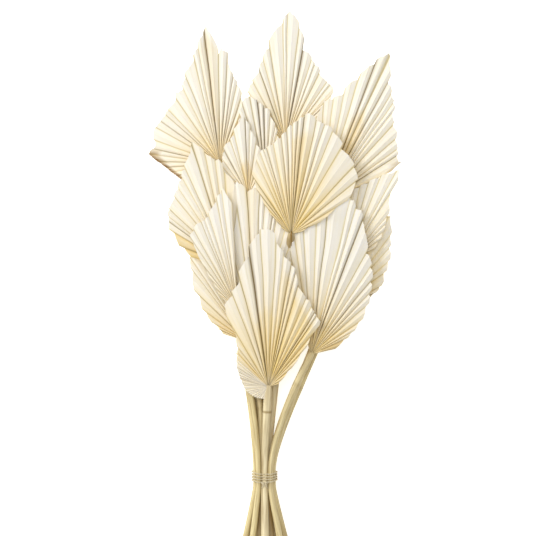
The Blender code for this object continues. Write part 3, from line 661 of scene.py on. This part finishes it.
def blade_mesh(leaf, columns):
    """A grid bent into a fan round the hub and folded into its pleats."""
    across_steps, rings = len(columns) - 1, bpy.context.scene.palm_blades.rings
    bm = bmesh.new()
    bmesh.ops.create_grid(bm, x_segments=across_steps, y_segments=rings, size=0.5)
    uv = bm.loops.layers.uv.new("pleats")
    gold, brown, crease = (bm.verts.layers.float.new(name) for name in ("gold", "brown", "crease"))
    strength, reach = leaf.honey
    where = {}
    for vertex in bm.verts:
        column = columns[round((vertex.co.x + 0.5) * across_steps)]
        out = (round((vertex.co.y + 0.5) * rings) / rings) ** HUB_CROWDING
        radius = HUB_GAP + (column.reach - HUB_GAP) * out
        where[vertex] = (column.number, radius * MM)
        vertex.co = blade_point(leaf, column, radius)
        golden, dark = patch_at(leaf, column.degrees, out)
        bare = strength * (PALE_FLANK if column.degrees < leaf.flank else 1.0)
        near = bare * math.exp(-((radius / reach) ** GOLD_FALL))
        # Painted shade: dark lines along the valleys, darker and denser towards the hub.
        hub_fold_shade = bare * math.exp(-radius / FOLD_SHADE_REACH)
        # Valleys take more of the gold than ridges: painted shade.
        low = 0.6 + 0.4 * (1 - column.ridge)
        vertex[gold] = min(1.0, (near + golden) * low + 0.03)
        vertex[brown] = dark
        pressed = column.crease * (1 - 0.5 * out * (1 - column.crease ** 2))
        line = min(1.0, 0.55 * hub_fold_shade + 0.07 + pressed * min(1.0, 0.4 + radius / 60))
        away = column.ridge * column.width * radius
        wide = FOLD_SHADE_WIDTH * (1 + 0.8 * column.crease ** 4) * min(1.0, 0.4 + radius / 50)
        vertex[crease] = line * math.exp(-((away / wide) ** 2))
    for face in bm.faces:
        face.smooth = True
        for loop in face.loops:
            loop[uv].uv = where[loop.vert]
    for edge in bm.edges:
        first, second = (where[vertex][0] for vertex in edge.verts)
        edge.smooth = not (edge.is_boundary or first == second and 2 * first == int(2 * first))
    return bm


def add_blade(leaf, material):
    """The pleated blade of one leaf, with the dry sheet's thickness."""
    bm = blade_mesh(leaf, blade_columns(leaf))
    blade = add_piece(leaf.name + "_blade", bm, [material], leaf.name)
    wall = blade.modifiers.new("sheet", "SOLIDIFY")
    wall.thickness = bpy.context.scene.palm_blades.thickness
    wall.offset = 0.0


def turned_frames(path, across, closed):
    """Right and up at each point of a path, turning as little as they can along it."""
    frames, right, last = [], across, len(path) - 1
    for place in range(len(path)):
        before = path[place - 1] if place else path[-2 if closed else 0]
        after = path[place + 1] if place < last else path[1 if closed else last]
        ahead = (after - before).normalized()
        right = (right - ahead * right.dot(ahead)).normalized()
        frames.append((right, right.cross(ahead)))
    return frames


def roll_tube(bm, path, radii, sides, across=Vector((1, 0, 0)), shape=None, closed=False):
    """Rolls a grid up along a path and closes it. shape gives a share of the radius at (row, angle)."""
    rows = len(path) - 1
    uv = bm.loops.layers.uv.get("rind") or bm.loops.layers.uv.new("rind")
    grid = bmesh.ops.create_grid(bm, x_segments=sides, y_segments=rows, size=0.5)["verts"]
    frames = turned_frames(path, across, closed)
    travelled = [0.0]
    for first, second in zip(path, path[1:]):
        travelled.append(travelled[-1] + (second - first).length)
    where = {}
    for vertex in grid:
        column = round((vertex.co.x + 0.5) * sides)
        row = round((vertex.co.y + 0.5) * rows)
        right, up = frames[row]
        angle = 2 * math.pi * (column % sides) / sides
        radius = radii[row] * (shape(row, angle) if shape else 1.0)
        vertex.co = path[row] + (right * math.cos(angle) + up * math.sin(angle)) * radius
        where[vertex] = (column / sides, travelled[row] * MM)
    faces = list({face for vertex in grid for face in vertex.link_faces})
    for face in faces:
        face.smooth = True
        for loop in face.loops:
            loop[uv].uv = where[loop.vert]
    bmesh.ops.remove_doubles(bm, verts=grid, dist=0.02)
    faces = [face for face in faces if face.is_valid]
    rims = list({edge for face in faces for edge in face.edges if edge.is_boundary})
    caps = bmesh.ops.holes_fill(bm, edges=rims)["faces"] if rims else []
    bmesh.ops.recalc_face_normals(bm, faces=faces + caps)
    return faces, caps


def roll_fibre(bm, start, ahead, bend, reach, radius, brown=0.0):
    """A thin torn fibre that tapers away from its root."""
    path = [start + ahead * reach * step + bend * reach * step ** 2 for step in (0, 0.35, 0.7, 1.0)]
    across = ahead.cross(bend)
    for point in path:
        point.z = max(point.z, radius)
    faces, _ = roll_tube(bm, path, [radius, radius * 0.8, radius * 0.5, radius * 0.2], 3, across)
    layer = bm.verts.layers.float.get("brown")
    for vertex in {vertex for face in faces for vertex in face.verts}:
        vertex[layer] = brown


def add_fibres(leaf, material):
    """Fibres that stand out from the cut rim of a leaf, thickest where it is torn and brown."""
    draw = random.Random(leaf.name + " fibres")
    columns = blade_columns(leaf)
    bm = bmesh.new()
    bm.verts.layers.float.new("brown")
    torn = [column for column in columns if patch_at(leaf, column.degrees, 1.0)[1] > 0.5]
    picked = [draw.choice(columns) for _ in range(bpy.context.scene.palm_blades.fibres)]
    picked += [column for column in torn for _ in range(2)]
    for column in picked:
        _, brown = patch_at(leaf, column.degrees, 1.0)
        end = blade_point(leaf, column, column.reach * 0.99)
        ahead = (end - blade_point(leaf, column, column.reach * 0.93)).normalized()
        bend = Vector((draw.uniform(-1, 1), draw.uniform(-1, 1), draw.uniform(-0.2, 0.5))) * 0.5
        reach = draw.uniform(1.0, 3.0) if brown < 0.5 else draw.uniform(0.6, 1.8)
        roll_fibre(bm, end, ahead, bend, reach, draw.uniform(0.12, 0.22), brown)
    add_piece(leaf.name + "_fibres", bm, [material], leaf.name)


def slot_place(slot, y):
    """Where a stalk's axis lies in the tie, this far along it."""
    across, row = slot
    return Vector((across * SLOT_PITCH, y, LOWEST_ROW + row * ROW_RISE))


def stalk_path(leaf):
    """Points and radii of the stalk, from under the blade through the tie to the cut end."""
    settings = bpy.context.scene.palm_stalks
    hub_radius, tie_radius, cut_radius = (
        leaf.stout * size / MM for size in (settings.hub_radius, settings.tie_radius, settings.cut_radius)
    )
    under = place_on_leaf(leaf, RUN_OUT, 0, blade_height(leaf, RUN_OUT, 0) - RUN_OUT_SINK)
    hub = place_on_leaf(leaf, 0, 0, blade_height(leaf, 0, 0) - HUB_SINK)
    along = (under - hub).normalized()
    top, bottom = slot_place(leaf.slot, TIE_HALF), slot_place(leaf.slot, -TIE_HALF)
    below = settings.below / MM + random.Random(leaf.name).uniform(-4, 4)
    cut = Vector((leaf.cut[0], -below, leaf.cut[1]))
    down = Vector((0, -1, 0))
    free, lower = (top - hub), (bottom - cut).length
    leave = Matrix.Rotation(math.radians(-leaf.lean), 3, "Z") @ free
    legs = (
        (under, under - along * 5, hub + along * 4, hub, 10),
        (hub, hub + leave * 0.3, top - down * free.length * leaf.upright, top, 44),
        (top, top + down * 5, bottom - down * 5, bottom, 8),
        (bottom, bottom + down * lower * 0.1, cut - (cut - bottom).normalized() * lower * 0.2, cut, 30),
    )
    ends = (
        (RUN_OUT_RADIUS, NECK_RADIUS), (hub_radius, tie_radius), (tie_radius, tie_radius),
        (tie_radius, cut_radius),
    )
    points, radii = [], []
    for number, ((start, first, second, end, steps), (near, far)) in enumerate(zip(legs, ends)):
        for step, point in enumerate(interpolate_bezier(start, first, second, end, steps + 1)):
            if number and step == 0:
                continue
            done = step / steps
            radius = near + (far - near) * done
            if number == 1:
                radius -= (hub_radius - NECK_RADIUS) * math.exp(-done * free.length / 6)
                dropped = min(1.0, max(0.0, (done * free.length - 4) / 12))
                point.z -= leaf.dip * dropped * (1 - done)
            point.z = max(point.z, radius)
            points.append(point)
            radii.append(radius)
    return points, radii


def add_stalk(leaf, rind, pith):
    """One stalk: a slightly grooved tube with a node ring, painted shade below its blade, round the tie and
    along the dark tail of some hubs, and a sawn, pithy end.
    """
    points, radii = stalk_path(leaf)
    draw = random.Random(leaf.name + " stalk")
    turn, ribs = draw.uniform(0, 6), draw.choice((5, 6, 7))
    ring = draw.randint(14, 34)

    def shape(row, angle):
        groove = 0.04 * (0.5 - 0.5 * math.cos(ribs * angle + turn + row * 0.01))
        groove += 0.03 * (0.5 - 0.5 * math.cos(2 * angle + turn))
        swell = 0.05 * math.exp(-((row - ring) ** 2) / 2)
        return 1 - groove + swell

    bm = bmesh.new()
    stain = bm.verts.layers.float.new("stain")
    pale = bm.verts.layers.float.new("pale")
    paleness = 1.0 if leaf.stout > 1 else draw.uniform(-0.2, 0.5)
    _, caps = roll_tube(bm, points, radii, bpy.context.scene.palm_stalks.sides, shape=shape)
    ahead = (points[ring + 1] - points[ring]).normalized()
    low = min(caps, key=lambda face: face.calc_center_median().y)
    for vertex in bm.verts:
        vertex[pale] = max(0.0, paleness)
        offset = vertex.co - points[ring]
        if offset.length < 8:
            vertex[stain] = leaf.node * math.exp(-((offset.dot(ahead) / 0.7) ** 2))
        # Painted shade just below the blade.
        neck = (vertex.co - points[NECK_ROW]).length
        vertex[stain] = min(1.0, vertex[stain] + leaf.neck * math.exp(-((neck / 13) ** 2)))
        # Painted shade: the stalks behind the front row darken round and below the tie.
        if leaf.slot[1] < 3 and abs(leaf.slot[0]) < 1.5:
            vertex[stain] = max(vertex[stain], math.exp(-(((vertex.co.y + 25) / 45) ** 2)))
    # Painted shade: a dark point laid over the hub, running down from it.
    if leaf.tail:
        hub = blade_height(leaf, 0, 0)
        run = [place_on_leaf(leaf, 3.0, 0, hub + 0.8)]
        for step in (0.0, 0.4, 0.8, 1.0):
            run.append(Vector((leaf.hub[0], leaf.hub[1] - leaf.tail * step, hub + 1.2)))
        dark, _ = roll_tube(bm, run, [0.5, 1.1, 0.9, 0.6, 0.2], 10)
        for vertex in {vertex for face in dark for vertex in face.verts}:
            vertex[stain] = 1.0
    low.material_index = 1
    bevelled = bmesh.ops.bevel(
        bm, geom=list(low.edges), offset=0.5, segments=2, profile=0.5, affect="EDGES", material=-1,
    )
    for face in bevelled["faces"]:
        face.smooth = True
    bmesh.ops.recalc_face_normals(bm, faces=bm.faces[:])
    add_piece(leaf.name + "_stalk", bm, [rind, pith], leaf.name)


def tie_height():
    """The height of the twine's middle where it crosses the front stalks."""
    settings = bpy.context.scene.palm_twine
    top = max(slot_place(leaf.slot, 0.0).z for leaf in LEAVES)
    return top + TIE_STALK + (settings.gap + settings.radius) / MM


def turn_path(left, middle, right):
    """A turn of twine round all the stalks, at these heights at the front and level behind."""
    settings = bpy.context.scene.palm_twine
    centres = [slot_place(leaf.slot, 0.0) for leaf in LEAVES]
    reach = TIE_STALK + (settings.gap + settings.radius) / MM
    half = WIDEST_SLOT * SLOT_PITCH + reach
    centre_height = sum(centre.z for centre in centres) / len(centres)
    points, steps = [], 88
    for number in range(steps):
        angle = 2 * math.pi * (number + 0.5) / steps
        outward = Vector((math.cos(angle), 0.0, math.sin(angle)))
        point = max(centres, key=lambda centre: centre.dot(outward)) + outward * reach
        side = max(-1.0, min(1.0, point.x / half))
        if point.z > centre_height:
            point.y = middle + ((left if side < 0 else right) - middle) * abs(side)
        else:
            point.y = left + (right - left) * (side + 1) / 2
        points.append(point)
    return points + points[:1]


def even_path(path, step):
    """The same path with its points an even step apart."""
    travelled = [0.0]
    for first, second in zip(path, path[1:]):
        travelled.append(travelled[-1] + (second - first).length)
    count = max(8, round(travelled[-1] / step))
    even, place = [], 0
    for number in range(count + 1):
        target = travelled[-1] * number / count
        while place < len(path) - 2 and travelled[place + 1] < target:
            place += 1
        between = (target - travelled[place]) / (travelled[place + 1] - travelled[place])
        even.append(path[place].lerp(path[place + 1], between))
    return even


def add_twine(name, path, material, closed, across):
    """Two-ply twine along a path."""
    settings = bpy.context.scene.palm_twine
    radius = settings.radius / MM
    ply = radius * PLY_SHARE
    even = even_path(path, TWINE_STEP)
    frames = turned_frames(even, across, closed)
    twists = max(1, round(TWINE_STEP * len(even) / (settings.lay / MM)))
    bm = bmesh.new()
    for phase in (0.0, math.pi):
        wound = []
        for number, (point, (right, up)) in enumerate(zip(even, frames)):
            turn = 2 * math.pi * twists * number / (len(even) - 1) + phase
            wound.append(point + (right * math.cos(turn) + up * math.sin(turn)) * (radius - ply))
        roll_tube(bm, wound, [ply] * len(wound), 10, across, closed=closed)
    for vertex in bm.verts:
        vertex.co.z = max(vertex.co.z, 0.02)
    add_piece(name, bm, [material], "twine_tie")


def knot_path():
    """A tight overhand knot, lying on the front stalk."""
    place = Vector((*KNOT_PLACE, tie_height() + KNOT_RISE))
    path = []
    for number in range(61):
        turn = 2 * math.pi * number / 60
        x = math.sin(turn) + 2 * math.sin(2 * turn)
        y = math.cos(turn) - 2 * math.cos(2 * turn)
        z = -KNOT_SIZE[2] * math.sin(3 * turn)
        path.append(place + Vector((x * KNOT_SIZE[0], y * KNOT_SIZE[1], z)))
    return path


def tail_path(side):
    """A short end of twine below the knot."""
    x, y = KNOT_PLACE
    z = tie_height()
    start = Vector((x + side * 0.9, y - 0.8, z + 0.6))
    end = Vector((x + side * 2.6, y - 4.6, z - 0.4))
    return interpolate_bezier(start, start + Vector((0, -1.5, 0.3)), end + Vector((0, 1.5, 0.6)), end, 12)


def add_fuzz(material):
    """Loose fibres that stand out from the twine."""
    settings = bpy.context.scene.palm_twine
    draw = random.Random("fuzz")
    bm = bmesh.new()
    bm.verts.layers.float.new("brown")
    centre = Vector((0.0, 0.0, tie_height() / 2))
    paths = [turn_path(*turn) for turn in TURNS] + [knot_path()]
    for _ in range(settings.fuzz):
        point = draw.choice(draw.choice(paths))
        outward = point - Vector((centre.x, point.y, centre.z))
        outward.normalize()
        root = point + outward * settings.radius / MM * 0.8
        ahead = (outward + Vector((draw.uniform(-1, 1), draw.uniform(-1, 1), 0)) * 0.7).normalized()
        bend = Vector((draw.uniform(-1, 1), draw.uniform(-1, 1), draw.uniform(-1, 0.4))) * 0.5
        reach = min(draw.uniform(1.0, 2.6), max(0.4, root.z))
        roll_fibre(bm, root, ahead, bend, reach, draw.uniform(0.05, 0.1), 0.15)
    add_piece("twine_fuzz", bm, [material], "twine_tie")


class PALM_OT_blades(bpy.types.Operator):
    """Model the pleated blade of every leaf"""

    bl_idname = "palm_spears.blades"
    bl_label = "Pleated Blades"

    def execute(self, context):
        material = bleached_palm_blade()
        for leaf in LEAVES:
            add_blade(leaf, material)
        return {"FINISHED"}


class PALM_OT_fibres(bpy.types.Operator):
    """Model the loose fibres on the cut rim of every leaf"""

    bl_idname = "palm_spears.fibres"
    bl_label = "Loose Fibres"

    def execute(self, context):
        material = loose_fibre()
        for leaf in LEAVES:
            add_fibres(leaf, material)
        return {"FINISHED"}


class PALM_OT_stalks(bpy.types.Operator):
    """Model the stalk of every leaf, from its blade through the tie to the cut end"""

    bl_idname = "palm_spears.stalks"
    bl_label = "Stalks"

    def execute(self, context):
        rind, pith = dried_palm_stalk(), petiole_pith()
        for leaf in LEAVES:
            add_stalk(leaf, rind, pith)
        return {"FINISHED"}


class PALM_OT_twine(bpy.types.Operator):
    """Model the turns of twine round the stalks, with their knot and its loose fibres"""

    bl_idname = "palm_spears.twine"
    bl_label = "Twine"

    def execute(self, context):
        material = jute_twine()
        across = Vector((0, 1, 0))
        for number, turn in enumerate(TURNS, 1):
            add_twine(f"twine_turn_{number}", turn_path(*turn), material, True, across)
        add_twine("twine_knot", knot_path(), material, True, Vector((0, 0, 1)))
        add_twine("twine_tail_left", tail_path(-1), material, False, Vector((1, 0, 0)))
        add_twine("twine_tail_right", tail_path(1), material, False, Vector((1, 0, 0)))
        add_fuzz(loose_fibre())
        return {"FINISHED"}


class PALM_OT_stage(bpy.types.Operator):
    """Set up the white table, the soft lights and the camera above the bunch"""

    bl_idname = "palm_spears.stage"
    bl_label = "Table, Lights and Camera"

    def execute(self, context):
        settings = context.scene.palm_stage
        bm = bmesh.new()
        bmesh.ops.create_grid(bm, x_segments=1, y_segments=1, size=TABLE_SIZE)
        bmesh.ops.translate(bm, verts=bm.verts[:], vec=(0, 0, -TABLE_GAP))
        mesh = bpy.data.meshes.new("table")
        bm.to_mesh(mesh)
        bm.free()
        mesh.materials.append(white_table())
        table = bpy.data.objects.new("table", mesh)
        context.scene.collection.objects.link(table)

        world = bpy.data.worlds.new("white room")
        world.use_nodes = True
        backdrop = world.node_tree.nodes["Background"]
        backdrop.inputs["Color"].default_value = (1.0, 1.0, 1.0, 1.0)
        backdrop.inputs["Strength"].default_value = settings.sky
        context.scene.world = world

        aim = Vector(LIGHT_AIM)
        boxes = (
            ("key soft box", (-1.3, 0.9, 1.3), 0.8, settings.key),
            ("overhead soft box", (-0.2, 0.3, 2.5), 1.2, settings.overhead),
        )
        for name, place, size, energy in boxes:
            lamp = bpy.data.lights.new(name, "AREA")
            lamp.energy = energy
            lamp.size = size
            box = bpy.data.objects.new(name, lamp)
            box.location = place
            box.rotation_euler = (aim - box.location).to_track_quat("-Z", "Y").to_euler()
            context.scene.collection.objects.link(box)

        camera = bpy.data.cameras.new("camera")
        width = IMAGE_SIZE * MM_PER_PIXEL * MM
        camera.lens = camera.sensor_width * settings.camera_height / width
        eye = bpy.data.objects.new("camera", camera)
        centre = IMAGE_SIZE / 2
        from_tie = Vector((centre - TIE_PIXEL[0], TIE_PIXEL[1] - centre, 0))
        middle = tie_origin() + from_tie * MM_PER_PIXEL * MM
        eye.location = (middle.x, middle.y, settings.camera_height + SCALE_HEIGHT)
        context.scene.collection.objects.link(eye)
        context.scene.camera = eye
        context.scene.view_settings.view_transform = "Standard"
        return {"FINISHED"}


class PALM_PT_panel(bpy.types.Panel):
    """Sizes, colours and buttons of the bunch"""

    bl_label = "Dried Palm Spear Bunch"
    bl_idname = "PALM_PT_panel"
    bl_space_type = "VIEW_3D"
    bl_region_type = "UI"
    bl_category = "Palm"

    def draw(self, context):
        groups = (
            ("palm_blades", ("palm_spears.blades", "palm_spears.fibres")),
            ("palm_stalks", ("palm_spears.stalks",)),
            ("palm_twine", ("palm_spears.twine",)),
            ("palm_stage", ("palm_spears.stage",)),
        )
        for group, operators in groups:
            column = self.layout.column(align=True)
            settings = getattr(context.scene, group)
            for name in settings.__annotations__:
                column.prop(settings, name)
            for operator in operators:
                column.operator(operator)


SETTINGS = {
    "palm_blades": PalmBladeSettings,
    "palm_stalks": PalmStalkSettings,
    "palm_twine": PalmTwineSettings,
    "palm_stage": PalmStageSettings,
}
CLASSES = (
    *SETTINGS.values(), PALM_OT_blades, PALM_OT_fibres, PALM_OT_stalks, PALM_OT_twine, PALM_OT_stage,
    PALM_PT_panel,
)


def register():
    """Makes the settings, the operators and the panel known."""
    for kind in CLASSES:
        bpy.utils.register_class(kind)
    for name, kind in SETTINGS.items():
        setattr(bpy.types.Scene, name, bpy.props.PointerProperty(type=kind))


def unregister():
    """Takes them away again."""
    for name in SETTINGS:
        delattr(bpy.types.Scene, name)
    for kind in reversed(CLASSES):
        bpy.utils.unregister_class(kind)


def main():
    """Models the bunch and its stage."""
    register()
    bpy.ops.palm_spears.blades()
    bpy.ops.palm_spears.fibres()
    bpy.ops.palm_spears.stalks()
    bpy.ops.palm_spears.twine()
    bpy.ops.palm_spears.stage()


if __name__ == "__main__":
    main()
